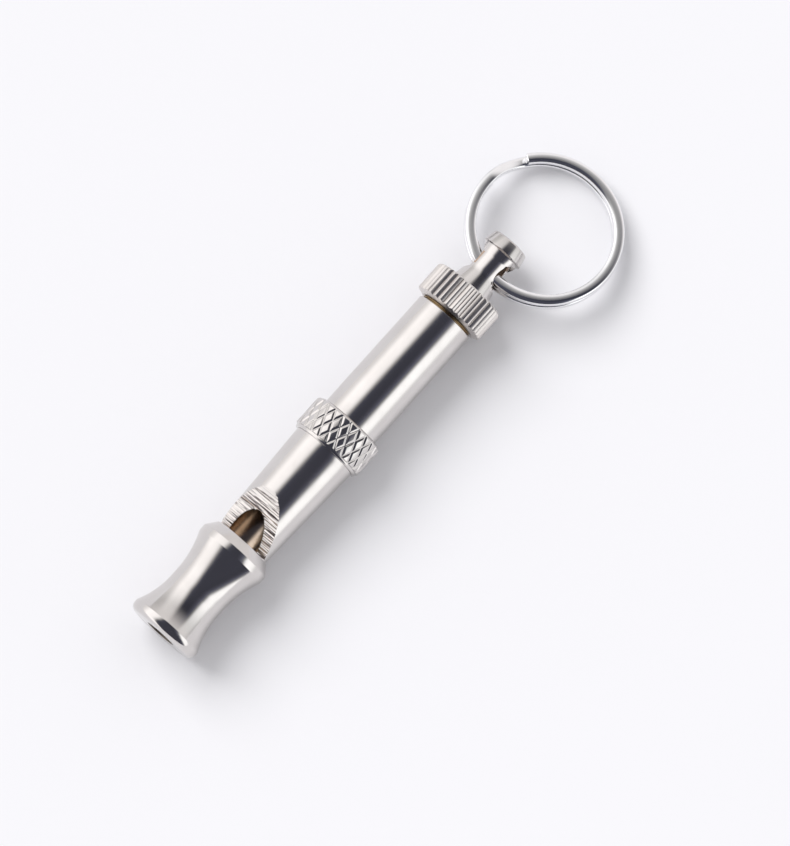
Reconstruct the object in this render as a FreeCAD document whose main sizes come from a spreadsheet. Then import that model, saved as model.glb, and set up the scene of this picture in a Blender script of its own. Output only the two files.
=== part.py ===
import FreeCAD, Part
import math
import os
import re
import Sketcher

# A tunable training whistle: mouthpiece, windowed sounding tube, barrel, and a piston moved by a
# threaded tuning rod that a fluted nut locks. A split ring hangs in the rod's head.
#
# Frame: the origin is the centre of the mouthpiece's blowing face, on the whistle's axis.
# +X runs along the axis towards the split ring, +Z is up, millimetres.

VECTOR = FreeCAD.Vector

# name, number, meaning. Lengths along the axis are measured from the blowing face.
DIMENSIONS = [
    ("running_gap", 0.06, "radial clearance of a piece that moves in another"),
    ("seat_gap", 0.03, "radial clearance left between two pieces that are fixed together"),
    ("cut_margin", 1, "how far a cut's outline runs past the surface it cuts"),

    ("rim_radius", 6.25, "mouthpiece rim, the widest turned piece"),
    ("rim_round", 1.1, "rounding of the rim's outer edge"),
    ("rim_end", 1.6, "end of the rim's land"),
    ("waist_start", 7.9, "start of the narrowest stretch of the mouthpiece"),
    ("waist_end", 9.0, "end of the narrowest stretch"),
    ("waist_radius", 4.78, "mouthpiece waist"),
    ("flange_radius", 6.2, "flange at the mouthpiece's window end"),
    ("flange_start", 15.9, "where the waist's curve reaches the flange"),
    ("flange_end", 17.1, "start of the flange's bevel"),
    ("mouth_length", 18.75, "whole mouthpiece"),
    ("shoulder_radius", 4.95, "end of the flange's bevel, beside the window"),
    ("blow_radius", 2.15, "blow hole"),
    ("blow_mouth_radius", 2.6, "countersunk mouth of the blow hole"),
    ("blow_mouth_depth", 0.45, "depth of that countersink"),
    ("socket_start", 10.0, "floor of the socket that takes the sounding tube"),
    ("socket_radius", 4.2, "socket in the mouthpiece"),

    ("bore_radius", 3.1, "bore of the sounding tube and the barrel"),
    ("tube_start_radius", 4.77, "sounding tube beside the mouthpiece"),
    ("tube_collar_radius", 5.46, "sounding tube at the collar"),
    ("tube_taper_end", 37.5, "end of the sounding tube's taper"),
    ("tube_joint", 41.0, "where the sounding tube ends and the barrel's full diameter starts"),
    ("spigot_start", 38.2, "inner end of the barrel's spigot"),
    ("spigot_radius", 4.3, "spigot of the barrel in the sounding tube"),

    ("window_floor", 0.2, "height above the axis where the window's ramp starts"),
    ("window_slope", 29.5, "angle of the window's ramp to the axis"),
    ("window_roll", 18.0, "roll of the window from +Z towards +Y"),
    ("plug_start", 11.0, "front of the windway plug"),
    ("plug_end", 18.7, "rear of the windway plug, at the window"),
    ("plug_flat", 2.35, "height above the axis of the plug's flat, the windway's floor"),
    ("plug_bevel", 0.3, "bevel round the plug's front"),

    ("collar_start", 37.75, "collar's lip"),
    ("collar_end", 43.55, "end of the collar"),
    ("collar_radius", 6.25, "collar over its knurl"),
    ("lip_width", 0.45, "plain lip before the knurl"),
    ("lip_radius", 5.95, "plain lip"),
    ("collar_bevel", 0.4, "bevel at the collar's end"),

    ("barrel_radius", 5.0, "barrel"),
    ("barrel_end", 65.55, "end of the barrel"),
    ("barrel_bevel", 0.15, "bevel at the barrel's end"),
    ("bush_start", 58.0, "inner end of the threaded bush"),
    ("bush_radius", 3.7, "bush pressed in the barrel"),
    ("bush_flange_radius", 4.3, "flange of the bush"),
    ("bush_flange_width", 0.22, "thickness of the flange"),

    ("washer_start", 65.79, "face of the lock washer"),
    ("washer_width", 0.2, "thickness of the lock washer"),
    ("washer_radius", 4.55, "lock washer"),
    ("washer_hole_radius", 2.65, "hole of the lock washer"),

    ("nut_start", 66.01, "lock nut's clamping face"),
    ("nut_end", 71.35, "lock nut's outer face"),
    ("nut_radius", 6.2, "lock nut over its flutes"),
    ("nut_face_radius", 5.05, "lock nut's clamping face"),
    ("nut_shoulder", 66.5, "end of the bevel behind the clamping face"),
    ("nut_bevel", 0.3, "bevel at the lock nut's outer face"),
    ("nut_recess_radius", 3.7, "recess round the rod's head"),
    ("nut_recess_depth", 1.0, "depth of that recess"),
    ("flute_depth", 0.36, "depth of a flute"),
    ("flute_half_width", 0.45, "half the width of a flute at the nut's surface"),
    ("flute_count", 32, "flutes round the lock nut"),

    ("thread_pitch", 0.8, "pitch of the tuning thread, right-handed"),
    ("thread_radius", 2.46, "crest of the rod's thread"),
    ("thread_depth", 0.433, "depth of the rod's thread"),
    ("thread_crest", 0.1, "width of the thread's crest"),
    ("thread_gap", 0.05, "clearance between the rod's thread and its nuts, square to the flank"),
    ("thread_margin", 0.1, "how far a thread's cut runs past the surface it starts from"),
    ("nut_bore_gap", 0.1, "radial clearance between a nut's bore and the rod's root"),
    ("thread_start", 50.0, "start of the rod's thread"),
    ("thread_end", 70.4, "end of the rod's thread"),
    ("shank_radius", 1.95, "plain shank of the rod and its undercut"),

    ("button_start", 29.0, "rod's tip, inside the piston"),
    ("button_width", 0.9, "thickness of the button on the tip"),
    ("button_radius", 1.5, "button on the tip"),
    ("tip_neck_radius", 0.95, "neck behind the button"),
    ("shank_start", 33.5, "start of the plain shank"),

    ("head_start", 71.15, "underside of the rod's head"),
    ("head_base_radius", 3.45, "base of the rod's head"),
    ("neck_start", 74.3, "start of the head's neck"),
    ("neck_end", 77.3, "end of the head's neck"),
    ("neck_radius", 2.95, "head's neck"),
    ("cap_underside", 78.65, "foot of the step under the cap"),
    ("cap_foot_radius", 3.1, "head at the foot of that step"),
    ("cap_start", 78.85, "widest place of the cap"),
    ("cap_radius", 3.55, "cap over the neck"),
    ("cap_end_radius", 3.1, "cap's outer end"),
    ("cap_round", 0.4, "rounding of the cap's outer edge"),
    ("head_end", 80.95, "end of the head"),
    ("eye_place", 75.7, "centre of the cross hole, along the axis"),
    ("eye_radius", 2.2, "cross hole"),
    ("eye_bevel", 0.15, "bevel at the cross hole's mouths"),
    ("spot_face_radius", 2.65, "flat spot faces round the cross hole's mouths"),
    ("spot_face_distance", 2.15, "spot faces from the axis"),
    ("head_roll", 5.0, "roll of the cross hole, its -Y mouth turned up"),

    ("piston_start", 27.6, "piston's face"),
    ("piston_end", 33.0, "back of the piston"),
    ("piston_bevel", 0.2, "bevel at the piston's ends"),
    ("seal_place", 31.3, "centre of the piston's seal, along the axis"),
    ("seal_cord_radius", 0.4, "half the thickness of the seal's cord"),
    ("seal_ring_radius", 2.67, "seal's centre line"),

    ("ring_radius", 11.6, "split ring's centre line"),
    ("wire_width", 1.8, "split ring's wire, across the ring"),
    ("wire_height", 1.45, "split ring's wire, along the ring's axis"),
    ("wire_round", 0.6, "rounding of the wire's edges"),
    ("turn_gap", 0.04, "gap between the two turns"),
    ("ring_reach", 10.74, "ring's centre beyond the cross hole"),
    ("ring_offset", -2.22, "ring's centre across the axis"),
    ("ring_droop", 12.2, "tilt of the ring, down to the surface the whistle lies on"),
    ("upper_end_angle", 54.6, "free end of the ring's upper turn, round its axis from +X"),
    ("lower_end_angle", 87.5, "free end of the ring's lower turn"),
]
NAMES = {name for name, number, meaning in DIMENSIONS}


# ---------------------------------------------------------------- dimensions and expressions

def make_sheet(doc):
    """The spreadsheet with every driving dimension, one row each."""
    sheet = doc.addObject("Spreadsheet::Sheet", "dims")
    for row, (name, number, meaning) in enumerate(DIMENSIONS, start=1):
        sheet.set(f"A{row}", name)
        sheet.set(f"B{row}", str(number))
        sheet.setAlias(f"B{row}", name)
        sheet.set(f"C{row}", meaning)
    doc.recompute()
    return sheet


def bound(text):
    """The expression with each dimension's name pointed at the spreadsheet."""
    return re.sub(r"[a-z_]+", lambda m: f"dims.{m[0]}" if m[0] in NAMES else m[0], text)


def number_of(doc, text):
    """The present value of an expression of dimensions."""
    value = doc.dims.evalExpression(bound(text).replace("dims.", ""))
    return float(getattr(value, "Value", value))


# ---------------------------------------------------------------- sketches

def origin_feature(body, role):
    return next(f for f in body.Origin.OriginFeatures if f.Role == role)


def arc_between(first, last, radius, turn):
    """Arc from first to last; turn +1 runs it anticlockwise, -1 clockwise."""
    chord = last - first
    height = math.sqrt(max(radius ** 2 - (chord.Length / 2) ** 2, 0))
    across = VECTOR(-chord.y, chord.x, 0).normalize()
    centre = (first + last) / 2 + across * height * turn
    angles = [math.atan2(p.y - centre.y, p.x - centre.x) for p in (first, last)]
    if turn < 0:
        angles.reverse()
    return Part.ArcOfCircle(Part.Circle(centre, VECTOR(0, 0, 1), radius), *angles)


def outline(body, name, corners, plane="XZ_Plane", offset=None):
    """A closed outline. Each corner is (across, up), or (across, up, radius, turn) where the edge
    to the next corner is an arc. All sizes are expressions of dimensions."""
    doc = body.Document
    sketch = body.newObject("Sketcher::SketchObject", name)
    sketch.AttachmentSupport = (origin_feature(body, plane), [""])
    sketch.MapMode = "FlatFace"
    if offset:
        sketch.setExpression("AttachmentOffset.Base.z", bound(offset))
    points = [VECTOR(number_of(doc, c[0]), number_of(doc, c[1]), 0) for c in corners]
    ends = []
    for i, corner in enumerate(corners):
        first, last = points[i], points[(i + 1) % len(points)]
        if len(corner) == 2:
            sketch.addGeometry(Part.LineSegment(first, last))
            ends.append((1, 2))
        else:
            turn = corner[3]
            arc = arc_between(first, last, number_of(doc, corner[2]), turn)
            sketch.addGeometry(arc)
            ends.append((1, 2) if turn > 0 else (2, 1))
    for i in range(len(corners)):
        after = (i + 1) % len(corners)
        sketch.addConstraint(Sketcher.Constraint("Coincident", i, ends[i][1], after, ends[after][0]))
    for i, corner in enumerate(corners):
        fix(sketch, "DistanceX", i, ends[i][0], points[i].x, corner[0])
        fix(sketch, "DistanceY", i, ends[i][0], points[i].y, corner[1])
        if len(corner) > 2:
            index = sketch.addConstraint(
                Sketcher.Constraint("Radius", i, number_of(doc, corner[2])))
            sketch.setExpression(f"Constraints[{index}]", bound(corner[2]))
    return sketch


def fix(sketch, kind, geometry, end, value, text):
    """One coordinate of a corner, bound to its expression."""
    index = sketch.addConstraint(Sketcher.Constraint(kind, geometry, end, value))
    sketch.setExpression(f"Constraints[{index}]", bound(text))


# ---------------------------------------------------------------- features

def new_body(doc, name):
    return doc.addObject("PartDesign::Body", name)


def turned_body(doc, name, corners):
    """A body turned about the whistle's axis from its half section."""
    body = new_body(doc, name)
    sketch = outline(body, name + "_section", corners)
    turning = body.newObject("PartDesign::Revolution", name + "_turning")
    turning.Profile = sketch
    turning.ReferenceAxis = (sketch, ["H_Axis"])
    turning.Angle = 360
    doc.recompute()
    return body


def groove_body(body, name, corners):
    """Turns a groove or a cavity out of a body."""
    sketch = outline(body, name + "_section", corners)
    groove = body.newObject("PartDesign::Groove", name)
    groove.Profile = sketch
    groove.ReferenceAxis = (sketch, ["H_Axis"])
    groove.Angle = 360
    body.Document.recompute()


def thread_cut(body, name, corners, length):
    """Cuts one right-handed helical groove round the whistle's axis."""
    sketch = outline(body, name + "_section", corners)
    helix = body.newObject("PartDesign::SubtractiveHelix", name)
    helix.Profile = sketch
    helix.ReferenceAxis = (sketch, ["H_Axis"])
    helix.Mode = "pitch-height-angle"
    helix.setExpression("Pitch", bound("thread_pitch"))
    helix.setExpression("Height", bound(length))
    helix.LeftHanded = False
    body.Document.recompute()
    return helix


# ---------------------------------------------------------------- pieces

def make_mouthpiece(doc):
    rise = "(rim_radius - waist_radius)"
    left_arc = f"((waist_start - rim_end)^2 + {rise}^2) / (2 * {rise})"
    drop = "(flange_radius - waist_radius)"
    right_arc = f"((flange_start - waist_end)^2 + {drop}^2) / (2 * {drop})"
    return turned_body(doc, "mouthpiece", [
        ("0", "blow_mouth_radius"),
        ("0", "rim_radius - rim_round", "rim_round", -1),
        ("rim_round", "rim_radius"),
        ("rim_end", "rim_radius", left_arc, 1),
        ("waist_start", "waist_radius"),
        ("waist_end", "waist_radius", right_arc, 1),
        ("flange_start", "flange_radius"),
        ("flange_end", "flange_radius"),
        ("mouth_length", "shoulder_radius"),
        ("mouth_length", "socket_radius"),
        ("socket_start", "socket_radius"),
        ("socket_start", "blow_radius"),
        ("blow_mouth_depth", "blow_radius"),
    ])


def make_sounding_tube(doc):
    body = turned_body(doc, "sounding_tube", [
        ("socket_start", "bore_radius"),
        ("socket_start", "socket_radius - seat_gap"),
        ("mouth_length", "socket_radius - seat_gap"),
        ("mouth_length", "tube_start_radius"),
        ("tube_taper_end", "tube_collar_radius"),
        ("tube_joint", "tube_collar_radius"),
        ("tube_joint", "spigot_radius"),
        ("spigot_start", "spigot_radius"),
        ("spigot_start", "bore_radius"),
    ])
    cut_window(body)
    roll_back(body, "window_roll")
    return body


def cut_window(body):
    """The slanted sound window: a wedge that ends in the tube's sharp lip."""
    top = "(window_floor + 2 * bore_radius)"
    sketch = outline(body, "window_outline", [
        ("mouth_length", "window_floor"),
        (f"mouth_length + ({top} - window_floor) / tan(window_slope)", top),
        ("mouth_length", top),
    ])
    window = body.newObject("PartDesign::Pocket", "window")
    window.Profile = sketch
    window.SideType = "Symmetric"
    window.setExpression("Length", bound("4 * bore_radius"))
    body.Document.recompute()


def roll_back(body, angle):
    """Rolls a body about the whistle's axis, from +Z towards +Y."""
    body.Placement.Rotation = FreeCAD.Rotation(VECTOR(1, 0, 0), -number_of(body.Document, angle))
    body.setExpression("Placement.Rotation.Angle", bound(f"-{angle}"))


def make_windway_plug(doc):
    """The fipple block: a plug with a flat that leaves a thin windway under the tube's wall."""
    body = turned_body(doc, "windway_plug", [
        ("plug_start", "0"),
        ("plug_start", "bore_radius - seat_gap - plug_bevel"),
        ("plug_start + plug_bevel", "bore_radius - seat_gap"),
        ("plug_end", "bore_radius - seat_gap"),
        ("plug_end", "0"),
    ])
    sketch = outline(body, "windway_outline", [
        ("plug_start - cut_margin", "plug_flat"),
        ("plug_end + cut_margin", "plug_flat"),
        ("plug_end + cut_margin", "bore_radius + cut_margin"),
        ("plug_start - cut_margin", "bore_radius + cut_margin"),
    ])
    windway = body.newObject("PartDesign::Pocket", "windway")
    windway.Profile = sketch
    windway.SideType = "Symmetric"
    windway.setExpression("Length", bound("4 * bore_radius"))
    roll_back(body, "window_roll")
    return body


def make_knurled_collar(doc):
    """Sleeve over the joint of the two tubes, bored in two steps. Its knurl is a surface finish
    within this outline."""
    return turned_body(doc, "knurled_collar", [
        ("collar_start", "tube_collar_radius + seat_gap"),
        ("collar_start", "lip_radius"),
        ("collar_start + lip_width", "lip_radius"),
        ("collar_start + lip_width", "collar_radius"),
        ("collar_end - collar_bevel", "collar_radius"),
        ("collar_end", "collar_radius - collar_bevel"),
        ("collar_end", "barrel_radius + seat_gap"),
        ("tube_joint", "barrel_radius + seat_gap"),
        ("tube_joint", "tube_collar_radius + seat_gap"),
    ])


def make_barrel(doc):
    return turned_body(doc, "barrel", [
        ("spigot_start", "bore_radius"),
        ("spigot_start", "spigot_radius - seat_gap"),
        ("tube_joint", "spigot_radius - seat_gap"),
        ("tube_joint", "barrel_radius"),
        ("barrel_end - barrel_bevel", "barrel_radius"),
        ("barrel_end", "barrel_radius - barrel_bevel"),
        ("barrel_end", "bush_radius"),
        ("bush_start", "bush_radius"),
        ("bush_start", "bore_radius"),
    ])


NUT_BORE = "(thread_radius - thread_depth + nut_bore_gap)"


def cut_nut_thread(body, name, first, last):
    """The V that the rod's thread runs in, cut outwards from a nut's bore between first and last.
    It is centred a whole number of turns and a half from the groove between two turns of the
    rod's thread, so the two stay in mesh, and it starts and ends beyond the nut."""
    inner = "(thread_radius - thread_depth - thread_margin)"
    outer = "(thread_radius + thread_gap)"
    turns_before = f"(floor(({first} - thread_start) / thread_pitch) - 2)"
    turns = f"(ceil(({last} - {first}) / thread_pitch) + 3)"
    centre = f"(thread_start + ({turns_before} + 0.5) * thread_pitch)"

    def half_width(radius):
        return f"(thread_crest / 2 + (thread_radius - {radius}) * tan(30) + thread_gap / cos(30))"

    thread_cut(body, name, [
        (f"{centre} - {half_width(inner)}", inner),
        (f"{centre} - {half_width(outer)}", outer),
        (f"{centre} + {half_width(outer)}", outer),
        (f"{centre} + {half_width(inner)}", inner),
    ], f"{turns} * thread_pitch")


def make_threaded_bush(doc):
    body = turned_body(doc, "threaded_bush", [
        ("bush_start", NUT_BORE),
        ("bush_start", "bush_radius - seat_gap"),
        ("barrel_end", "bush_radius - seat_gap"),
        ("barrel_end", "bush_flange_radius"),
        ("barrel_end + bush_flange_width", "bush_flange_radius"),
        ("barrel_end + bush_flange_width", NUT_BORE),
    ])
    cut_nut_thread(body, "bush_thread", "bush_start", "barrel_end")
    return body


def make_lock_washer(doc):
    return turned_body(doc, "lock_washer", [
        ("washer_start", "washer_hole_radius"),
        ("washer_start", "washer_radius"),
        ("washer_start + washer_width", "washer_radius"),
        ("washer_start + washer_width", "washer_hole_radius"),
    ])


def make_lock_nut(doc):
    body = turned_body(doc, "lock_nut", [
        ("nut_start", NUT_BORE),
        ("nut_start", "nut_face_radius"),
        ("nut_shoulder", "nut_radius"),
        ("nut_end - nut_bevel", "nut_radius"),
        ("nut_end", "nut_radius - nut_bevel"),
        ("nut_end", "nut_recess_radius"),
        ("nut_end - nut_recess_depth", "nut_recess_radius"),
        ("nut_end - nut_recess_depth", NUT_BORE),
    ])
    cut_nut_thread(body, "nut_thread", "nut_start", "(nut_end - nut_recess_depth)")
    cut_flutes(body)
    return body


def cut_flutes(body):
    """The straight V flutes that give the fingers grip, cut along the whole nut."""
    doc = body.Document
    sketch = outline(body, "flute_outline", [
        ("nut_radius - flute_depth", "0"),
        ("nut_radius + flute_depth", "-2 * flute_half_width"),
        ("nut_radius + flute_depth", "2 * flute_half_width"),
    ], plane="YZ_Plane", offset="nut_start - cut_margin")
    flute = body.newObject("PartDesign::Pocket", "flute")
    flute.Profile = sketch
    flute.Reversed = True
    flute.setExpression("Length", bound("nut_end - nut_start + 2 * cut_margin"))
    doc.recompute()
    pattern = body.newObject("PartDesign::PolarPattern", "flutes")
    pattern.Originals = [flute]
    pattern.Axis = (origin_feature(body, "X_Axis"), [""])
    pattern.Angle = 360
    pattern.setExpression("Occurrences", bound("flute_count"))
    body.Tip = pattern
    doc.recompute()


def make_tuning_rod(doc):
    """Head, threaded shank and the tip that turns in the piston, in one piece."""
    body = turned_body(doc, "tuning_rod", [
        ("button_start", "0"),
        ("button_start", "button_radius"),
        ("button_start + button_width", "button_radius"),
        ("button_start + button_width", "tip_neck_radius"),
        ("shank_start", "tip_neck_radius"),
        ("shank_start", "shank_radius"),
        ("thread_start - (thread_radius - shank_radius)", "shank_radius"),
        ("thread_start", "thread_radius"),
        ("thread_end", "thread_radius"),
        ("thread_end + (thread_radius - shank_radius) / 2", "shank_radius"),
        ("head_start", "shank_radius"),
        ("head_start", "head_base_radius"),
        ("nut_end", "head_base_radius"),
        ("neck_start", "neck_radius"),
        ("neck_end", "neck_radius"),
        ("cap_underside", "cap_foot_radius"),
        ("cap_start", "cap_radius"),
        ("head_end - cap_round", "cap_end_radius", "cap_round", -1),
        ("head_end", "cap_end_radius - cap_round"),
        ("head_end", "0"),
    ])
    cut_eye(body)
    cut_rod_thread(body)
    roll_back(body, "head_roll")
    return body


def cut_rod_thread(body):
    """The V groove of the rod's thread, cut from outside its crest down to its root."""
    root = "(thread_radius - thread_depth)"
    outer = "(thread_radius + thread_margin)"
    root_half = "(thread_pitch / 2 - thread_crest / 2 - thread_depth * tan(30))"
    outer_half = f"({root_half} + ({outer} - {root}) * tan(30))"
    centre = "(thread_start - 2 * thread_pitch)"
    thread_cut(body, "rod_thread", [
        (f"{centre} - {root_half}", root),
        (f"{centre} - {outer_half}", outer),
        (f"{centre} + {outer_half}", outer),
        (f"{centre} + {root_half}", root),
    ], "thread_end - thread_start + 2 * thread_pitch")


def cut_eye(body):
    """The cross hole for the split ring, along Y, with a spot face round each of its mouths."""
    far = "(cap_radius + cut_margin)"
    floor = "spot_face_distance"
    half = [
        ("eye_place + spot_face_radius", far),
        ("eye_place + spot_face_radius", floor),
        ("eye_place + eye_radius + eye_bevel", floor),
        ("eye_place + eye_radius", f"({floor} - eye_bevel)"),
    ]
    mirrored = [(across, f"-{up}") for across, up in half]
    sketch = outline(body, "eye_section", [
        ("eye_place", f"-{far}"), *mirrored, *reversed(half), ("eye_place", far),
    ], plane="XY_Plane")
    centre_line = sketch.GeometryCount
    eye = body.newObject("PartDesign::Groove", "eye")
    eye.Profile = sketch
    eye.ReferenceAxis = (sketch, [f"Edge{centre_line}"])
    eye.Angle = 360
    body.Document.recompute()


def make_piston(doc):
    """Turns freely on the button of the rod's tip, which a crimped skirt holds in."""
    body = turned_body(doc, "piston", [
        ("piston_start", "0"),
        ("piston_start", "bore_radius - running_gap - piston_bevel"),
        ("piston_start + piston_bevel", "bore_radius - running_gap"),
        ("piston_end - piston_bevel", "bore_radius - running_gap"),
        ("piston_end", "bore_radius - running_gap - piston_bevel"),
        ("piston_end", "tip_neck_radius + running_gap"),
        ("button_start + button_width + running_gap", "tip_neck_radius + running_gap"),
        ("button_start + button_width + running_gap", "button_radius + running_gap"),
        ("button_start - running_gap", "button_radius + running_gap"),
        ("button_start - running_gap", "0"),
    ])
    groove_body(body, "seal_groove", [
        ("seal_place - seal_cord_radius - running_gap", "seal_ring_radius - seal_cord_radius"),
        ("seal_place + seal_cord_radius + running_gap", "seal_ring_radius - seal_cord_radius"),
        ("seal_place + seal_cord_radius + running_gap", "bore_radius + cut_margin"),
        ("seal_place - seal_cord_radius - running_gap", "bore_radius + cut_margin"),
    ])
    return body


def make_piston_seal(doc):
    seal = doc.addObject("Part::Torus", "piston_seal")
    seal.setExpression("Radius1", bound("seal_ring_radius"))
    seal.setExpression("Radius2", bound("seal_cord_radius"))
    seal.Placement.Rotation = FreeCAD.Rotation(VECTOR(0, 1, 0), 90)
    seal.setExpression("Placement.Base.x", bound("seal_place"))
    return seal


def ring_path(doc):
    """The wire's centre line: a lower turn, a crossing, and an upper turn above the first."""
    radius = number_of(doc, "ring_radius")
    level = number_of(doc, "(wire_height + turn_gap) / 2")
    start, end = number_of(doc, "lower_end_angle"), number_of(doc, "upper_end_angle") + 360

    def turn_at(height, first, last):
        circle = Part.Circle(VECTOR(0, 0, height), VECTOR(0, 0, 1), radius)
        return Part.ArcOfCircle(circle, math.radians(first), math.radians(last)).toShape()

    def crossing_point(share):
        angle = math.radians(end + (start + 360 - end) * share)
        height = -level * math.cos(math.pi * share)
        return VECTOR(radius * math.cos(angle), radius * math.sin(angle), height)

    steps = 8
    crossing = Part.BSplineCurve()
    tangents = [VECTOR(-math.sin(math.radians(a)), math.cos(math.radians(a)), 0) for a in (end, start)]
    crossing.interpolate(Points=[crossing_point(i / steps) for i in range(steps + 1)],
                         InitialTangent=tangents[0], FinalTangent=tangents[1])
    return Part.Wire([turn_at(-level, start, end), crossing.toShape(), turn_at(level, start, end)])


def wire_section(doc):
    """The wire's rounded cross-section, square to the path's first point."""
    half_width, half_height = number_of(doc, "wire_width / 2"), number_of(doc, "wire_height / 2")
    corner = number_of(doc, "wire_round")
    box = Part.makePolygon([VECTOR(half_width * a, 0, half_height * b)
                            for a, b in ((-1, -1), (1, -1), (1, 1), (-1, 1), (-1, -1))])
    slab = Part.Face(box).extrude(VECTOR(0, 1, 0))
    uprights = [e for e in slab.Edges if abs(e.tangentAt(e.FirstParameter).y) > 0.9]
    rounded = slab.makeFillet(corner, uprights)
    face = min(rounded.Faces, key=lambda f: f.CenterOfMass.y)
    section = face.OuterWire
    section.translate(VECTOR(number_of(doc, "ring_radius"), 0,
                             -number_of(doc, "(wire_height + turn_gap) / 2")))
    section.rotate(VECTOR(0, 0, 0), VECTOR(0, 0, 1), number_of(doc, "lower_end_angle"))
    return section


def make_split_ring(doc):
    """Flat wire wound in two touching turns; its centre is beyond the cross hole."""
    sweep = Part.BRepOffsetAPI.MakePipeShell(ring_path(doc))
    sweep.setBiNormalMode(VECTOR(0, 0, 1))
    sweep.add(wire_section(doc))
    sweep.build()
    sweep.makeSolid()
    ring = doc.addObject("Part::Feature", "split_ring")
    ring.Shape = sweep.shape()
    centre = VECTOR(number_of(doc, "ring_reach"), number_of(doc, "ring_offset"), 0)
    droop = FreeCAD.Rotation(VECTOR(0, 1, 0), number_of(doc, "ring_droop"))
    eye = VECTOR(number_of(doc, "eye_place"), 0, 0)
    ring.Placement = FreeCAD.Placement(eye + droop.multVec(centre), droop)
    return ring


# ---------------------------------------------------------------- document and files

def check(doc, pieces):
    """Stops with a plain message if any feature failed or any piece is not one valid solid."""
    for item in doc.Objects:
        if "Invalid" in item.State or "Error" in item.State:
            raise SystemExit(f"{item.Name} failed: {item.State}")
    for piece in pieces:
        if piece.Shape.isNull() or not piece.Shape.isValid():
            raise SystemExit(f"{piece.Label} has no valid shape")
        if len(piece.Shape.Solids) != 1:
            raise SystemExit(f"{piece.Label} has {len(piece.Shape.Solids)} solids")


def main():
    doc = FreeCAD.newDocument("training_whistle")
    make_sheet(doc)
    makers = [make_mouthpiece, make_windway_plug, make_sounding_tube, make_knurled_collar,
              make_barrel, make_threaded_bush, make_lock_washer, make_lock_nut, make_tuning_rod,
              make_piston, make_piston_seal, make_split_ring]
    pieces = [make(doc) for make in makers]
    doc.recompute()
    check(doc, pieces)
    os.makedirs("parts", exist_ok=True)
    for piece in pieces:
        piece.Shape.exportStep(f"parts/{piece.Label}.step")
        print(piece.Label, "volume", round(piece.Shape.Volume, 2), "mm3")


main()
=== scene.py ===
import math
import bmesh
import bpy
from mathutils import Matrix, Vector


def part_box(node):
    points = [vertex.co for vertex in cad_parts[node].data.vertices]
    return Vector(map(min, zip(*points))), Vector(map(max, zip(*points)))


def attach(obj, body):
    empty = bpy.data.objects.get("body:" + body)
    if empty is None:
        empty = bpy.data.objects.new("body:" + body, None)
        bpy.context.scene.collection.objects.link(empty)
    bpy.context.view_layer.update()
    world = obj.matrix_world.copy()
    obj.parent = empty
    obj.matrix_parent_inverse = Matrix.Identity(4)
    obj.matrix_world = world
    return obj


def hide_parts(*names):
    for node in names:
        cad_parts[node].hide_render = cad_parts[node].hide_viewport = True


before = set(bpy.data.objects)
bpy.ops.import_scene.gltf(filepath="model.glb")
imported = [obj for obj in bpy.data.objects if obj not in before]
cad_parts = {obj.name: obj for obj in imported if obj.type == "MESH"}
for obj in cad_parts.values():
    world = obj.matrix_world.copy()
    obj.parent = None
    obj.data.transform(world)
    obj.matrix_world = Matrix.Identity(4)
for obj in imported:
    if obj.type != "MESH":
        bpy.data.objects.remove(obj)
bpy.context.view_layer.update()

# A nickel-plated training whistle lying on a pale table, seen almost from above.
# Lengths are in millimetres until a mesh is made; MM turns them into metres.

MM = 0.001
ROUND_STEPS = 256    # columns of a plain turned surface
EDGE = 0.06          # rounding of an ordinary turned edge
SKIN = 0.05          # how far past a surface a test for its faces reaches
WELD = 0.0005        # corners closer than this are one corner
SLIVER = 0.0001      # edges shorter than this are dropped


# ---------------------------------------------------------------- sizes read from the frame

def span(node):
    """(start, end, radius) of a turned CAD node, along and about the whistle's axis."""
    low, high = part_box(node)
    return low[0] / MM, high[0] / MM, (high[2] - low[2]) / 2 / MM


_, MOUTH_END, RIM_RADIUS = span("mouthpiece")
TUBE_START, TUBE_END, TUBE_RADIUS = span("sounding_tube")
COLLAR_START, COLLAR_END, COLLAR_RADIUS = span("knurled_collar")
SPIGOT_START, BARREL_END, BARREL_RADIUS = span("barrel")
WASHER_START, WASHER_END, WASHER_RADIUS = span("lock_washer")
NUT_START, NUT_END, NUT_RADIUS = span("lock_nut")
_, ROD_END, CAP_RADIUS = span("tuning_rod")

# Inner sizes, which a node's box doesn't show.

BORE_RADIUS = 3.1                # inside of the sounding tube and the barrel
BLOW_RADIUS = 2.15               # blow hole through the mouthpiece
EYE_PLACE = 75.7                 # cross hole through the rod's head, along the whistle
EYE_RADIUS = 2.2
EYE_ROLL = math.radians(5)       # turn of the cross hole about the whistle's axis
SPOT_PLACE = 2.15                # flat faces round the cross hole's mouths, out from the axis


# ---------------------------------------------------------------- mesh helpers

def new_piece(name, verts, faces):
    """A mesh object in metres from vertices in millimetres, with every face pointing outwards."""
    mesh = bpy.data.meshes.new(name)
    mesh.from_pydata([Vector(v) * MM for v in verts], [], faces)
    mesh.validate()
    work = bmesh.new()
    work.from_mesh(mesh)
    bmesh.ops.recalc_face_normals(work, faces=work.faces)
    work.to_mesh(mesh)
    work.free()
    piece = bpy.data.objects.new(name, mesh)
    bpy.context.scene.collection.objects.link(piece)
    return piece


def mount(piece, body, node):
    """Puts the piece in the place of a CAD node, on that node's body."""
    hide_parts(node)
    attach(piece, body)


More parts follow.
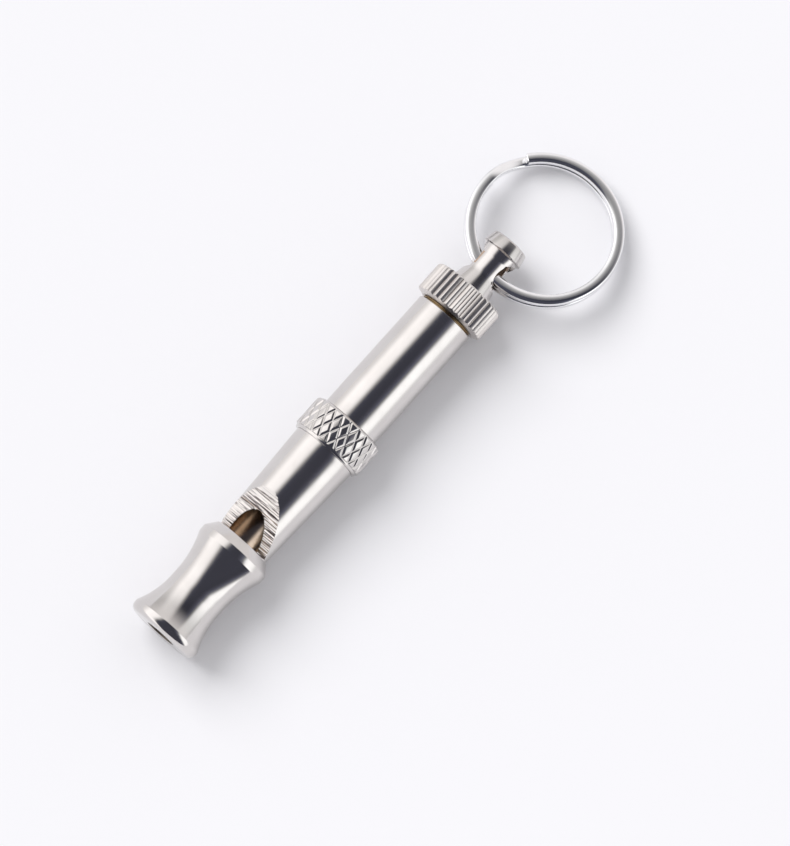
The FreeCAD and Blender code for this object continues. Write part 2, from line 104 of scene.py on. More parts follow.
def polish(piece, sharp=30):
    """Merges doubled corners and shades smooth across edges flatter than sharp degrees."""
    mesh = piece.data
    work = bmesh.new()
    work.from_mesh(mesh)
    bmesh.ops.remove_doubles(work, verts=work.verts, dist=WELD * MM)
    bmesh.ops.dissolve_degenerate(work, edges=work.edges, dist=SLIVER * MM)
    for face in work.faces:
        face.smooth = True
    work.to_mesh(mesh)
    work.free()
    mesh.set_sharp_from_angle(angle=math.radians(sharp))
    weighted = piece.modifiers.new("weighted_normals", "WEIGHTED_NORMAL")
    weighted.keep_sharp = True


def between(first, last, count):
    """count + 1 evenly spaced numbers from first to last."""
    return [first + (last - first) * i / count for i in range(count + 1)]


def rounded(corners, steps=4):
    """The outline through (x, r) corners; a third number rounds that corner to that radius."""
    points = []
    for i, corner in enumerate(corners):
        here = Vector(corner[:2])
        if len(corner) < 3:
            points.append(here)
            continue
        before = (Vector(corners[i - 1][:2]) - here).normalized()
        after = (Vector(corners[(i + 1) % len(corners)][:2]) - here).normalized()
        half = before.angle(after) / 2
        centre = here + (before + after).normalized() * corner[2] / math.sin(half)
        reach = corner[2] / math.tan(half)
        first = here + before * reach - centre
        last = here + after * reach - centre
        for turn in between(0, -first.angle_signed(last), steps):
            points.append(centre + Vector((first.x * math.cos(turn) - first.y * math.sin(turn),
                                           first.x * math.sin(turn) + first.y * math.cos(turn))))
    return [(p.x, p.y) for p in points]


def revolve(rows, columns=ROUND_STEPS, shape=None):
    """Vertices and faces of a closed outline of (x, r) rows turned about the whistle's axis.
    A row with a third item gets its radius, column by column, from shape(x, r, turn)."""
    verts, faces, rings = [], [], []
    for x, r, *shaped in rows:
        if r < 1e-6:
            rings.append([len(verts)] * columns)
            verts.append((x, 0, 0))
            continue
        rings.append(list(range(len(verts), len(verts) + columns)))
        for k in range(columns):
            radius = shape(x, r, k / columns) if shaped else r
            angle = 2 * math.pi * k / columns
            verts.append((x, radius * math.cos(angle), radius * math.sin(angle)))
    for ring, other in zip(rings, rings[1:] + rings[:1]):
        for k in range(columns):
            after = (k + 1) % columns
            face = list(dict.fromkeys((ring[k], ring[after], other[after], other[k])))
            if len(face) > 2:
                faces.append(face)
    return verts, faces


def carve(piece, cutter):
    """Cuts the cutter out of the piece for good and removes the cutter."""
    cut = piece.modifiers.new("cut", "BOOLEAN")
    cut.operation = "DIFFERENCE"
    cut.solver = "EXACT"
    cut.object = cutter
    bpy.context.view_layer.update()
    graph = bpy.context.evaluated_depsgraph_get()
    mesh = bpy.data.meshes.new_from_object(piece.evaluated_get(graph))
    piece.modifiers.remove(cut)
    piece.data = mesh
    bpy.data.objects.remove(cutter)


def arc_rise(away, length, rise):
    """Height at a distance from the level end of an arc that climbs rise over length."""
    radius = (length ** 2 + rise ** 2) / (2 * rise)
    return radius - math.sqrt(radius ** 2 - away ** 2)


# ---------------------------------------------------------------- the fixed pieces

def make_mouthpiece():
    """Rim, waist and flange in one turning, with the blow hole and the tube's socket bored in it."""
    rim_end, rim_front, rim_back = 1.6, 1.1, 0.35
    waist_start, waist_end, waist = 7.9, 9.0, 4.78
    flange_start, flange_end, flange, shoulder = 15.9, 17.1, 6.2, 4.95
    blow_mouth, mouth_depth = 2.6, 0.45
    socket_start, socket = 10.0, 4.2
    left, right = waist_start - rim_end, flange_start - waist_end
    outline = [(0, blow_mouth, EDGE), (0, RIM_RADIUS, rim_front), (rim_end, RIM_RADIUS, rim_back)]
    outline += [(waist_start - away, waist + arc_rise(away, left, RIM_RADIUS - waist))
                for away in between(left, 0, 40)[1:]]
    outline += [(waist_end + away, waist + arc_rise(away, right, flange - waist))
                for away in between(0, right, 44)[:-1]]
    outline += [(flange_start, flange, 0.12), (flange_end, flange, 0.1),
                (MOUTH_END, shoulder, EDGE), (MOUTH_END, socket), (socket_start, socket),
                (socket_start, BLOW_RADIUS), (mouth_depth, BLOW_RADIUS, EDGE)]
    piece = new_piece("mouthpiece_turned", *revolve(rounded(outline)))
    mount(piece, "whistle", "mouthpiece")
    polish(piece)
    return piece


WINDOW_FLOOR = 0.2                   # start of the ramp, above the axis
WINDOW_SLOPE = math.radians(29.5)
WINDOW_ROLL = math.radians(18)       # turn of the window about the whistle's axis
RIDGE_PITCH = 0.36                   # passes of the milling cutter
RIDGE_HEIGHT = 0.075


def ramp_section():
    """(x, up) points up the window's ramp, scalloped by the passes of the milling cutter.
    The passes are uneven, so their pitch and height drift along the ramp."""
    start = MOUTH_END - 0.005
    length = 2 * BORE_RADIUS / math.sin(WINDOW_SLOPE)
    points = [(start, WINDOW_FLOOR)]
    along, ridge = 0.0, 0
    while along < length:
        pitch = RIDGE_PITCH * (1 + 0.3 * math.sin(2.4 * ridge))
        height = RIDGE_HEIGHT * (1 + 0.5 * math.sin(1.7 * ridge + 1))
        for share in between(0, 1, 6)[:-1]:
            cusp = height * (2 * share - 1) ** 2 - height
            here = along + share * pitch
            points.append((start + here * math.cos(WINDOW_SLOPE) - cusp * math.sin(WINDOW_SLOPE),
                           WINDOW_FLOOR + here * math.sin(WINDOW_SLOPE) + cusp * math.cos(WINDOW_SLOPE)))
        along += pitch
        ridge += 1
    return [points[0]] + [p for p in points[1:] if p[0] > start]


def window_cutter():
    """A wedge as wide as the tube, under the ramp's section."""
    above = WINDOW_FLOOR + 3 * BORE_RADIUS
    section = ramp_section()
    section += [(section[-1][0], above), (section[0][0], above)]
    verts = []
    for side in (-2 * BORE_RADIUS, 2 * BORE_RADIUS):
        for x, up in section:
            verts.append((x, side * math.cos(WINDOW_ROLL) + up * math.sin(WINDOW_ROLL),
                          up * math.cos(WINDOW_ROLL) - side * math.sin(WINDOW_ROLL)))
    count = len(section)
    faces = [list(range(count)), list(range(count, 2 * count))]
    faces += [(i, (i + 1) % count, count + (i + 1) % count, count + i) for i in range(count)]
    return new_piece("window_cutter", verts, faces)


def make_sounding_tube():
    """Tapered tube: a thin end for the mouthpiece's socket, a seat for the barrel's spigot and the
    slanted window."""
    socket, start_radius, taper_end, spigot = 4.17, 4.77, 37.5, 4.3
    outline = [(TUBE_START, BORE_RADIUS), (TUBE_START, socket), (MOUTH_END, socket)]
    outline += [(x, start_radius + (TUBE_RADIUS - start_radius) * share)
                for x, share in zip(between(MOUTH_END, taper_end, 30), between(0, 1, 30))]
    outline += [(TUBE_END, TUBE_RADIUS), (TUBE_END, spigot), (SPIGOT_START, spigot)]
    outline += [(x, BORE_RADIUS) for x in between(SPIGOT_START, TUBE_START, 40)[:-1]]
    tube = new_piece("sounding_tube_milled", *revolve(outline))
    mount(tube, "whistle", "sounding_tube")
    carve(tube, window_cutter())
    polish(tube, sharp=22)
    return tube


KNURL_STARTS = 24        # diamonds round the collar
DIAMOND_LENGTH = 3.25
KNURL_DEPTH = 0.17


def knurl_height(turn, along):
    """Height, 0 to 1, of a diamond knurl: two crossing families of narrow V grooves."""
    crest = 0.6
    depth = max(abs(2 * ((turn + along) % 1) - 1), abs(2 * ((turn - along) % 1) - 1))
    return min(1, (1 - depth) / (1 - crest))


def make_knurled_collar():
    """Lip, knurled band and bevel on a grid whose steps follow the knurl's diagonals."""
    lip_width, lip_radius, bevel, per_diamond = 0.45, 5.95, 0.4, 32
    tube_bore, barrel_bore = TUBE_RADIUS + 0.03, BARREL_RADIUS + 0.03
    band_start, step = COLLAR_START + lip_width, DIAMOND_LENGTH / per_diamond
    band = [band_start + step * i for i in range(1, int((COLLAR_END - band_start) / step))]
    rows = [(COLLAR_START, lip_radius - 0.1), (COLLAR_START + 0.1, lip_radius),
            (band_start, lip_radius), (band_start + 0.02, COLLAR_RADIUS - 0.15, True)]
    rows += [(x, min(COLLAR_RADIUS, COLLAR_RADIUS - bevel + COLLAR_END - x), True) for x in band]
    rows += [(COLLAR_END, COLLAR_RADIUS - bevel - 0.1), (COLLAR_END, barrel_bore),
             (TUBE_END, barrel_bore), (TUBE_END, tube_bore), (COLLAR_START, tube_bore)]

    def knurled(x, r, turn):
        height = knurl_height(turn * KNURL_STARTS, (x - band_start) / DIAMOND_LENGTH)
        return min(r, COLLAR_RADIUS - KNURL_DEPTH * (1 - height))

    collar = new_piece("knurled_collar_rolled", *revolve(rows, KNURL_STARTS * per_diamond, knurled))
    mount(collar, "whistle", "knurled_collar")
    polish(collar, sharp=60)
    return collar


def make_barrel():
    """Plain tube with a spigot at one end and a wider seat for the threaded bush at the other."""
    bush, bush_start, spigot = 3.7, 58.0, 4.27
    outline = rounded([
        (SPIGOT_START, BORE_RADIUS), (SPIGOT_START, spigot), (TUBE_END, spigot),
        (TUBE_END, BARREL_RADIUS), (BARREL_END, BARREL_RADIUS, 0.15), (BARREL_END, bush),
        (bush_start, bush), (bush_start, BORE_RADIUS)])
    barrel = new_piece("barrel_drawn", *revolve(outline))
    mount(barrel, "whistle", "barrel")
    polish(barrel)
    return barrel


# ---------------------------------------------------------------- the tuning pieces

def make_lock_washer():
    """Thin brass washer under the lock nut."""
    hole, edge = 2.65, 0.05
    outline = rounded([(WASHER_START, hole, edge), (WASHER_START, WASHER_RADIUS, edge),
                       (WASHER_END, WASHER_RADIUS, edge), (WASHER_END, hole, edge)])
    washer = new_piece("lock_washer_turned", *revolve(outline))
    mount(washer, "lock_washer", "lock_washer")
    polish(washer)
    return washer


FLUTES = 32
RIB_DEPTH = 0.34      # depth of the valleys between the ribs


def rib_drop(turn):
    """Depth below the nut's full radius across its ribs, whose crests are narrow and a little
    uneven from rib to rib."""
    place = turn * FLUTES
    lean = 0.07 * math.sin(2.7 * math.floor(place))
    across = place % 1 - 0.5 - lean
    return RIB_DEPTH * (abs(across) / (0.5 + math.copysign(lean, -across))) ** 1.5


def make_lock_nut():
    """Ribbed ring nut, bevelled behind its ribs, with a recess round the rod's head. Its bore is
    plain, at the inner radius of the thread."""
    face_radius, shoulder, bevel = 5.05, 66.5, 0.3
    recess_radius, recess_depth, bore = 3.7, 1.0, 2.13
    rows = [(NUT_START, face_radius - 0.1), (NUT_START, face_radius, True)]
    rows += [(x, r, True) for x, r in zip(between(NUT_START, shoulder, 8)[1:],
                                          between(face_radius, NUT_RADIUS, 8)[1:])]
    rows += [(x, NUT_RADIUS, True) for x in between(shoulder, NUT_END - bevel, 10)[1:]]
    rows += [(NUT_END - bevel + away, NUT_RADIUS - away, True) for away in between(0, bevel, 5)[1:]]
    rows += [(NUT_END, NUT_RADIUS - bevel - 0.12), (NUT_END, recess_radius + 0.1),
             (NUT_END - 0.1, recess_radius), (NUT_END - recess_depth, recess_radius),
             (NUT_END - recess_depth, bore), (NUT_START, bore)]

    def ribbed(x, r, turn):
        return min(r, NUT_RADIUS - rib_drop(turn))

    nut = new_piece("lock_nut_ribbed", *revolve(rows, FLUTES * 32, ribbed))
    mount(nut, "lock_nut", "lock_nut")
    polish(nut, sharp=28)
    return nut


THREAD_START, THREAD_END, THREAD_PITCH = 50.0, 70.4, 0.8
THREAD_CREST, THREAD_ROOT, SHANK = 2.46, 2.027, 1.95


def thread_radius(x, r, turn):
    """Radius on a 60 degree thread with narrow flats, run out to the shank at both ends."""
    flat, slope, runout = 0.06, 0.8, 0.5
    phase = (x / THREAD_PITCH - turn) % 1
    climb = max(0, min(1, (abs(phase - 0.5) * 2 - flat) / slope))
    fade = min(1, (x - THREAD_START) / runout, (THREAD_END - x) / runout)
    return THREAD_ROOT + (THREAD_CREST - THREAD_ROOT) * climb * fade


def rod_rows():
    """The rod's outline: tip and shank, the thread's rows, then the head."""
    button_start, button_width, button, tip_neck, shank_start = 29.0, 0.9, 1.5, 0.95, 33.5
    head_start, base, neck_start, neck, neck_end = 71.15, 3.45, 74.3, 2.95, 77.3
    underside, cap_foot, cap_start, cap_face = 78.65, 3.1, 78.85, 3.1
    tip = rounded([(button_start, 0), (button_start, button, 0.1),
                   (button_start + button_width, button, 0.1), (button_start + button_width, tip_neck),
                   (shank_start, tip_neck), (shank_start, SHANK, 0.1), (THREAD_START, SHANK)])
    turns = (THREAD_END - THREAD_START) / THREAD_PITCH
    thread = [(x, THREAD_ROOT, True) for x in between(THREAD_START, THREAD_END, int(turns * 16))[1:-1]]
    head = rounded([(THREAD_END, SHANK), (head_start, SHANK), (head_start, base, 0.08),
                    (NUT_END + 0.3, base, 1.5), (neck_start, neck, 5.0), (neck_end, neck, 3.0),
                    (underside, cap_foot, 0.15), (cap_start, CAP_RADIUS, 0.06),
                    (ROD_END, cap_face, 0.35), (ROD_END, 0)], steps=8)
    return tip + thread + head


def eye_cutter():
    """A spindle that drills the cross hole and mills the flat spot faces round its mouths."""
    bevel, spot, far = 0.15, 2.65, CAP_RADIUS + 1
    half = [(SPOT_PLACE - bevel, EYE_RADIUS), (SPOT_PLACE, EYE_RADIUS + bevel), (SPOT_PLACE, spot),
            (far, spot), (far, 0)]
    verts, faces = revolve([(-y, r) for y, r in reversed(half)] + half, 128)
    tilt_y, tilt_z = math.cos(EYE_ROLL), math.sin(EYE_ROLL)
    verts = [(EYE_PLACE + y, x * tilt_y + z * tilt_z, z * tilt_y - x * tilt_z) for x, y, z in verts]
    return new_piece("eye_cutter", verts, faces)


def make_tuning_rod():
    """Rod, thread and head in one turning, with the cross hole through the head."""
    rod = new_piece("tuning_rod_turned", *revolve(rod_rows(), 160, thread_radius))
    mount(rod, "tuning_rod", "tuning_rod")
    carve(rod, eye_cutter())
    polish(rod, sharp=28)
    return rod


# ---------------------------------------------------------------- the split ring

WIRE_WIDTH, WIRE_HEIGHT, TURN_GAP = 1.78, 1.42, 0.07
RING_RADIUS = 11.6                       # to the middle of the wire
RING_REACH, RING_OFFSET = 10.74, -2.22   # the ring's centre, from the cross hole's
RING_DROOP = math.radians(12.2)          # slope of the ring, down to the table
UPPER_END, LOWER_END = 54.6, 87.5        # degrees round the ring to the wire's two cut ends


def wire_section(points=56, squareness=3.4):
    """The wire's crowned cross-section: a rounded rectangle with no flat on it."""
    section = []
    for k in range(points):
        c = math.cos(2 * math.pi * k / points)
        s = math.sin(2 * math.pi * k / points)
        section.append((WIRE_WIDTH / 2 * math.copysign(abs(c) ** (2 / squareness), c),
                        WIRE_HEIGHT / 2 * math.copysign(abs(s) ** (2 / squareness), s)))
    return section


def ring_stations():
    """(angle in degrees, height, size) along the wire: a lower turn, a crossing, an upper turn.
    Both cut ends are bevelled."""
    level = (WIRE_HEIGHT + TURN_GAP) / 2
    bevel = 0.12
    crossing_start, crossing_end = UPPER_END + 360, LOWER_END + 360
    stations = []
    for turn in between(LOWER_END, UPPER_END + 720, 520):
        share = min(1, max(0, (turn - crossing_start) / (crossing_end - crossing_start)))
        stations.append((turn, -level * math.cos(math.pi * share), 1))
    nose = math.degrees(bevel / RING_RADIUS)
    small = 1 - 2 * bevel / WIRE_HEIGHT
    first, last = stations[0], stations[-1]
    return ([(first[0], first[1], small), (first[0] + nose, first[1], 1)] + stations[1:-1]
            + [(last[0] - nose, last[1], 1), (last[0], last[1], small)])


def ring_point(turn, up, across):
    """A place on the ring, from its own flat frame to the whistle's."""
    angle = math.radians(turn)
    x = RING_REACH + (RING_RADIUS + across) * math.cos(angle)
    y = RING_OFFSET + (RING_RADIUS + across) * math.sin(angle)
    return (EYE_PLACE + x * math.cos(RING_DROOP) + up * math.sin(RING_DROOP), y,
            up * math.cos(RING_DROOP) - x * math.sin(RING_DROOP))


def make_split_ring():
    """Flat wire wound in two turns that cross from one level to the other."""
    section = wire_section()
    around = len(section)
    verts = [ring_point(turn, up + rise * size, across * size)
             for turn, up, size in ring_stations() for across, rise in section]
    faces = [list(range(around)), list(range(len(verts) - around, len(verts)))]
    for start in range(0, len(verts) - around, around):
        for k in range(around):
            after = (k + 1) % around
            faces.append((start + k, start + after, start + around + after, start + around + k))
    ring = new_piece("split_ring_wound", verts, faces)
    mount(ring, "split_ring", "split_ring")
    polish(ring, sharp=40)
    return ring


# ---------------------------------------------------------------- shader helpers

class Graph:
    """Short calls for building a node tree."""

    def __init__(self, tree):
        self.nodes = tree.nodes
        self.links = tree.links

    def add(self, kind, **settings):
        node = self.nodes.new("ShaderNode" + kind)
        for name, value in settings.items():
            setattr(node, name, value)
        return node

    def feed(self, socket, value):
        """Links a socket to another's output, or sets it to a plain value."""
        if isinstance(value, bpy.types.NodeSocket):
            self.links.new(value, socket)
        else:
            socket.default_value = value

    def math(self, operation, *values):
        node = self.add("Math", operation=operation)
        for socket, value in zip(node.inputs, values):
            self.feed(socket, value)
        return node.outputs[0]

    def remap(self, value, low, high, to_low, to_high, smooth=False):
        """The value carried from the range low to high onto the range to_low to to_high."""
        node = self.add("MapRange", interpolation_type="SMOOTHSTEP" if smooth else "LINEAR")
        self.feed(node.inputs["Value"], value)
        limits = {"From Min": low, "From Max": high, "To Min": to_low, "To Max": to_high}
        for name, number in limits.items():
            self.feed(node.inputs[name], number)
        return node.outputs["Result"]

    def mix(self, factor, first, second):
        """A colour between two colours; inputs 6 and 7 and output 2 are the node's colour ones."""
        node = self.add("Mix", data_type="RGBA")
        self.feed(node.inputs["Factor"], factor)
        self.feed(node.inputs[6], first)
        self.feed(node.inputs[7], second)
        return node.outputs[2]

    def noise(self, place, scale, detail=3.0):
        node = self.add("TexNoise")
        self.feed(node.inputs["Vector"], place)
        node.inputs["Scale"].default_value = scale
        node.inputs["Detail"].default_value = detail
        return node.outputs["Fac"]

    def stretched(self, place, factors):
        node = self.add("VectorMath", operation="MULTIPLY")
        self.feed(node.inputs[0], place)
        node.inputs[1].default_value = factors
        return node.outputs[0]

    def bump(self, height, depth, under=None):
        """A normal from a height and its depth in millimetres, on top of another normal."""
        node = self.add("Bump")
        node.inputs["Distance"].default_value = depth * MM
        self.feed(node.inputs["Height"], height)
        if under:
            self.feed(node.inputs["Normal"], under)
        return node.outputs["Normal"]


def new_material(name):
    material = bpy.data.materials.new(name)
    material.use_nodes = True
    graph = Graph(material.node_tree)
    return material, graph, material.node_tree.nodes["Principled BSDF"]


def opaque(colour):
    return (*colour, 1)


# ---------------------------------------------------------------- materials

def lathe_place(graph):
    """(along, out from the axis) as a vector, so noise on it draws rings round the whistle."""
    where = graph.add("TexCoord").outputs["Object"]
    split = graph.add("SeparateXYZ")
    graph.feed(split.inputs[0], where)
    squares = [graph.math("MULTIPLY", split.outputs[axis], split.outputs[axis]) for axis in "YZ"]
    out = graph.math("SQRT", graph.math("ADD", *squares))
    join = graph.add("CombineXYZ")
    graph.feed(join.inputs["X"], split.outputs["X"])
    graph.feed(join.inputs["Y"], out)
    return where, join.outputs[0]


def turned_metal(name, light, dark, smooth, rough, ring_depth, draw_depth):
    """Polished metal: faint lathe rings, faint drawn streaks along it, patches of duller polish
    and a slight drift of colour."""
    material, graph, shader = new_material(name)
    where, rings_place = lathe_place(graph)
    patches = graph.remap(graph.noise(where, 260), 0.3, 0.7, 0, 1)
    graph.feed(shader.inputs["Base Color"], graph.mix(patches, opaque(light), opaque(dark)))
    shader.inputs["Metallic"].default_value = 1
    graph.feed(shader.inputs["Roughness"], graph.remap(patches, 0, 1, smooth, rough))
    rings = graph.bump(graph.noise(rings_place, 9000, 2), ring_depth)
    streaks = graph.noise(graph.stretched(where, (0.12, 1, 1)), 1500, 2)
    graph.feed(shader.inputs["Normal"], graph.bump(streaks, draw_depth, rings))
    return material


def milled_metal_with_painted_shade():
    """Bright metal with dark, uneven lines across the window's ramp that are painted shade for the
    ridges the milling cutter left; the same noise also bumps the surface.
    """
    material, graph, shader = new_material("nickel_milled_painted_shade")
    where = graph.add("TexCoord").outputs["Object"]
    turned_up = graph.add("VectorRotate", rotation_type="X_AXIS")
    graph.feed(turned_up.inputs["Vector"], where)
    turned_up.inputs["Angle"].default_value = WINDOW_ROLL
    level = graph.add("VectorRotate", rotation_type="Y_AXIS")
    graph.feed(level.inputs["Vector"], turned_up.outputs[0])
    level.inputs["Angle"].default_value = WINDOW_SLOPE
    cutter_marks_and_shade = graph.noise(graph.stretched(level.outputs[0], (1, 0.07, 0.07)), 4200, 4)
    # painted shade: where the noise is high the base colour turns almost black, standing in for the
    # shade between the ramp's ridges
    painted_shade_lines = graph.remap(cutter_marks_and_shade, 0.5, 0.6, 0, 1)
    bright, dark = opaque((0.74, 0.71, 0.69)), opaque((0.10, 0.08, 0.08))
    graph.feed(shader.inputs["Base Color"], graph.mix(painted_shade_lines, bright, dark))
    shader.inputs["Metallic"].default_value = 1
    shader.inputs["Roughness"].default_value = 0.2
    graph.feed(shader.inputs["Normal"], graph.bump(cutter_marks_and_shade, 0.06))
    return material


def rubber():
    """Matt black with a fine grain."""
    material, graph, shader = new_material("seal_rubber_black")
    grain = graph.noise(graph.add("TexCoord").outputs["Object"], 6000)
    black, grey = opaque((0.02, 0.02, 0.02)), opaque((0.05, 0.05, 0.05))
    graph.feed(shader.inputs["Base Color"], graph.mix(grain, black, grey))
    shader.inputs["Roughness"].default_value = 0.55
    return material


def paper():
    """Pale, faintly bluish and without a shine."""
    material, graph, shader = new_material("pale_paper")
    tone = graph.noise(graph.add("TexCoord").outputs["Object"], 9)
    dull, fresh = opaque((0.885, 0.878, 0.905)), opaque((0.905, 0.898, 0.925))
    graph.feed(shader.inputs["Base Color"], graph.mix(tone, dull, fresh))
    shader.inputs["Roughness"].default_value = 0.8
    shader.inputs["Specular IOR Level"].default_value = 0.0
    return material


def dress(piece, material):
    piece.data.materials.clear()
    piece.data.materials.append(material)


def dress_where(piece, material, test):
    """Gives a second material to the faces whose centre, in millimetres, passes the test."""
    piece.data.materials.append(material)
    slot = len(piece.data.materials) - 1
    for face in piece.data.polygons:
        if test(face.center / MM):
            face.material_index = slot


def off_axis(place):
    return math.hypot(place.y, place.z)


def in_eye(place):
    """Inside the cross hole through the rod's head."""
    away = math.hypot(place.x - EYE_PLACE, place.z)
    return away < EYE_RADIUS + SKIN and abs(place.y) < SPOT_PLACE + SKIN


def in_blow_hole(place):
    """On the wall of the mouthpiece's blow hole, behind its bevelled mouth: the faces that get the
    painted shade.
    """
    return off_axis(place) < 2.4 and place.x > 0.2


def in_window(place):
    """On the window's milled ramp, or anywhere else below the tube's outer skin."""
    return off_axis(place) < 4.6


def in_bore(place):
    return off_axis(place) < BORE_RADIUS + 0.02


# ---------------------------------------------------------------- studio

def make_floor(material):
    """A table that the mouthpiece's rim and the knurled collar rest on."""
    size, low = 3000, -RIM_RADIUS
    corners = [(-size, -size, low), (size, -size, low), (size, size, low), (-size, size, low)]
    table = new_piece("table", corners, [(0, 1, 2, 3)])
    dress(table, material)


# The studio tent: (angle in degrees from straight up, brightness); positive angles lean towards -Y.
TENT = [(-90, 1.0), (-82, 1.03), (-75, 1.16), (-67, 1.42), (-59, 1.55), (-36, 1.43), (-29, 1.32),
        (-23, 0.95), (-17.5, 0.42), (-11, 0.085), (0, 0.06), (20, 0.055), (30, 0.09), (37, 0.16),
        (42, 0.3), (46, 0.75), (51, 1.4), (60, 1.55), (76, 1.5), (82, 1.3), (88, 1.0), (96, 0.95)]


TENT_DARK = 0.2                      # levels below this belong to the gap
TENT_END = (0.95, 0.92, 0.92)        # what faces turned towards the ring's end see
GAP_SPREAD = 85                      # degrees that the gap widens on the -Y side, per unit of -X
GAP_SHIFT = 25                       # degrees that the +Y side's edge moves, per unit of X


def tent_colour(place, level):
    """The dark gap overhead is bluish, the panel beyond +Y a little warm."""
    if level < TENT_DARK:
        return (level * 0.97, level, level * 1.35, 1)
    if place < 0:
        return (level, level * 0.985, level * 0.985, 1)
    return (level, level * 1.01, level * 1.02, 1)


def tent_angle(graph, direction, ahead):
    """Angle from straight up, moved so that the gap spreads towards the mouthpiece's end."""
    split = graph.add("SeparateXYZ")
    graph.feed(split.inputs[0], direction)
    lean = graph.math("ARCTAN2", graph.math("MULTIPLY", split.outputs["Y"], -1), split.outputs["Z"])
    angle = graph.math("DEGREES", lean)
    behind = graph.math("MAXIMUM", graph.math("SUBTRACT", 0.1, ahead), 0)
    spread = graph.math("MULTIPLY", behind, GAP_SPREAD)
    right = graph.math("MAXIMUM", graph.math("SUBTRACT", angle, spread), 0)
    shift = graph.math("MULTIPLY", graph.math("SUBTRACT", 0.11, ahead), GAP_SHIFT)
    left = graph.math("MINIMUM", graph.math("ADD", angle, shift), 0)
    on_right = graph.math("GREATER_THAN", angle, 0)
    return graph.math("ADD", graph.math("MULTIPLY", right, on_right),
                      graph.math("MULTIPLY", left, graph.math("SUBTRACT", 1, on_right)))


def tent_ramp(graph, angle):
    """The tent's colour at an angle."""
    low, high = TENT[0][0], TENT[-1][0]
    ramp = graph.add("ValToRGB")
    stops = ramp.color_ramp.elements
    for place, level in TENT[1:-1]:
        stops.new((place - low) / (high - low)).color = tent_colour(place, level)
    stops[0].color = tent_colour(*TENT[0])
    stops[-1].color = tent_colour(*TENT[-1])
    graph.feed(ramp.inputs["Fac"], graph.remap(angle, low, high, 0, 1))
    return ramp.outputs["Color"]


def tent_brightness(graph, direction):
    """What polished metal sees: lit panels on both sides and a dark gap overhead, which spreads
    towards the mouthpiece's end and fades towards the ring's end."""
    split = graph.add("SeparateXYZ")
    graph.feed(split.inputs[0], direction)
    ahead = split.outputs["X"]
    faded = graph.add("VectorMath", operation="SCALE")
    graph.feed(faded.inputs[0], tent_ramp(graph, tent_angle(graph, direction, ahead)))
    graph.feed(faded.inputs["Scale"], graph.remap(ahead, 0.1, 0.6, 1, 0.62, smooth=True))
    at_end = graph.remap(ahead, 0.45, 0.95, 0, 1, smooth=True)
    return graph.mix(at_end, faded.outputs[0], opaque(TENT_END))


SOFT_LIGHT = (0.60, 0.60, 0.606)     # even light on the table
BACKDROP = (0.93, 0.93, 0.95)        # what the camera sees past the table's edge


def make_world():
    """Metal reflects the studio tent; the table gets an even, soft light; the camera sees pale."""
    world = bpy.data.worlds.new("studio")
    bpy.context.scene.world = world
    world.use_nodes = True
    graph = Graph(world.node_tree)
    direction = graph.add("TexCoord").outputs["Generated"]
    path = graph.add("LightPath")
    background = world.node_tree.nodes["Background"]
    soft = graph.mix(path.outputs["Is Camera Ray"], opaque(SOFT_LIGHT), opaque(BACKDROP))
    graph.feed(background.inputs["Color"],
               graph.mix(path.outputs["Is Glossy Ray"], soft, tent_brightness(graph, direction)))
    background.inputs["Strength"].default_value = 1


KEY_ELEVATION = math.radians(47)
KEY_DRIFT = math.radians(4)          # turn away from +Y, towards the ring's end
KEY_SPREAD = math.radians(42)        # a wide disc, so that shadows are soft
KEY_STRENGTH = 2.0


def make_key_light():
    """A large soft light beyond the +Y side, whose shadow falls towards -Y."""
    key = bpy.data.lights.new("key", "SUN")
    key.energy = KEY_STRENGTH
    key.angle = KEY_SPREAD
    lamp = bpy.data.objects.new("key", key)
    bpy.context.scene.collection.objects.link(lamp)
    level = math.cos(KEY_ELEVATION)
    towards = Vector((math.sin(KEY_DRIFT) * level, math.cos(KEY_DRIFT) * level,
                      math.sin(KEY_ELEVATION)))
    lamp.rotation_euler = towards.to_track_quat("Z", "Y").to_euler()
    lamp.visible_glossy = False


CAMERA_AZIMUTH = math.radians(-48.4)
CAMERA_ELEVATION = math.radians(81.5)
CAMERA_DISTANCE = 1200
CAMERA_AIM = Vector((48.2, -5.2, 0))
FRAME_HEIGHT = 129.9                 # height of the picture at the aim
SENSOR_HEIGHT = 24


def make_camera():
    """A long lens, almost overhead, with the whistle on a diagonal of the frame."""
    camera = bpy.data.cameras.new("camera")
    camera.sensor_fit = "VERTICAL"
    camera.sensor_height = SENSOR_HEIGHT
    camera.lens = SENSOR_HEIGHT * CAMERA_DISTANCE / FRAME_HEIGHT
    camera.clip_start = 0.01
    camera.clip_end = 20
    level = math.cos(CAMERA_ELEVATION)
    back = Vector((math.sin(CAMERA_AZIMUTH) * level, -math.cos(CAMERA_AZIMUTH) * level,
                   math.sin(CAMERA_ELEVATION)))
    holder = bpy.data.objects.new("camera", camera)
    bpy.context.scene.collection.objects.link(holder)
    holder.location = (CAMERA_AIM + back * CAMERA_DISTANCE) * MM
    holder.rotation_euler = back.to_track_quat("Z", "Y").to_euler()
    bpy.context.scene.camera = holder


# ---------------------------------------------------------------- the whole picture

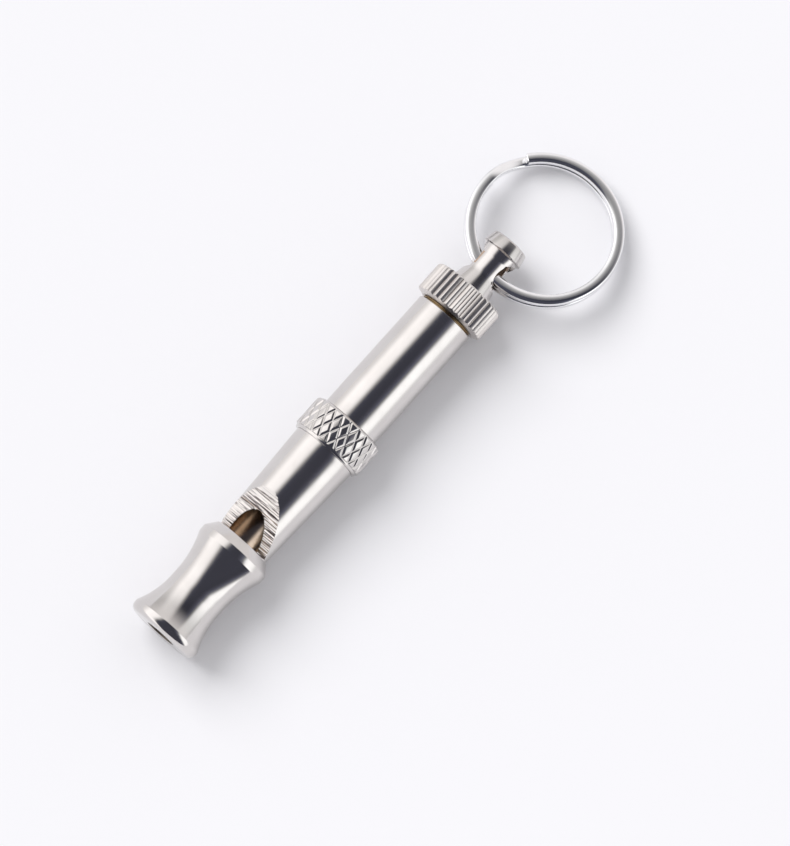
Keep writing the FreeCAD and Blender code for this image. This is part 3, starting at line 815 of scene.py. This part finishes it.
# name: (light and dark colour, smoothest and roughest polish, depth of rings and of streaks)
METALS = {
    "nickel_polished": ((0.68, 0.655, 0.638), (0.64, 0.613, 0.595), 0.1, 0.17, 0.0006, 0.0012),
    "nickel_bored": ((0.62, 0.53, 0.45), (0.50, 0.40, 0.31), 0.14, 0.24, 0.002, 0.002),
    "brass_drilled": ((0.56, 0.43, 0.34), (0.40, 0.30, 0.23), 0.4, 0.6, 0.004, 0.002),
    # painted shade: an almost black metal colour stands for the shade inside the blow hole
    "blow_hole_painted_shade": ((0.16, 0.14, 0.12), (0.10, 0.08, 0.07), 0.3, 0.5, 0.002, 0.002),
    # brass with painted shade: its base colour is darkened to stand for the shade in the narrow gap
    # between barrel and lock nut
    "brass_with_painted_shade": ((0.34, 0.24, 0.13), (0.24, 0.16, 0.08), 0.25, 0.4, 0.004, 0.001),
    "ring_polished": ((0.93, 0.93, 0.94), (0.86, 0.86, 0.87), 0.06, 0.12, 0.0003, 0.0005),
    "nickel_ribbed": ((0.72, 0.685, 0.66), (0.66, 0.625, 0.60), 0.27, 0.36, 0.0006, 0.0012),
}


def build_outside(metals):
    """The pieces that can be seen, each in the place of its CAD node."""
    nickel = metals["nickel_polished"]
    for make in (make_knurled_collar, make_barrel):
        dress(make(), nickel)
    dress(make_lock_nut(), metals["nickel_ribbed"])
    mouthpiece = make_mouthpiece()
    dress(mouthpiece, nickel)
    # the blow hole's wall gets painted shade, a near-black metal
    dress_where(mouthpiece, metals["blow_hole_painted_shade"], in_blow_hole)
    rod = make_tuning_rod()
    dress(rod, nickel)
    dress_where(rod, metals["brass_drilled"], in_eye)
    tube = make_sounding_tube()
    dress(tube, nickel)
    dress_where(tube, milled_metal_with_painted_shade(), in_window)
    dress_where(tube, metals["nickel_bored"], in_bore)
    # the washer's darkened brass is painted shade for the gap it sits in
    dress(make_lock_washer(), metals["brass_with_painted_shade"])
    dress(make_split_ring(), metals["ring_polished"])


def dress_inside(metals):
    """The inner pieces are the CAD's own nodes."""
    for node in ("windway_plug", "threaded_bush", "piston"):
        dress(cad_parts[node], metals["brass_with_painted_shade"])
    dress(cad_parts["piston_seal"], rubber())


def build():
    metals = {name: turned_metal(name, *look) for name, look in METALS.items()}
    build_outside(metals)
    dress_inside(metals)
    make_floor(paper())
    make_world()
    make_key_light()
    make_camera()
    bpy.context.scene.view_settings.view_transform = "Standard"


build()
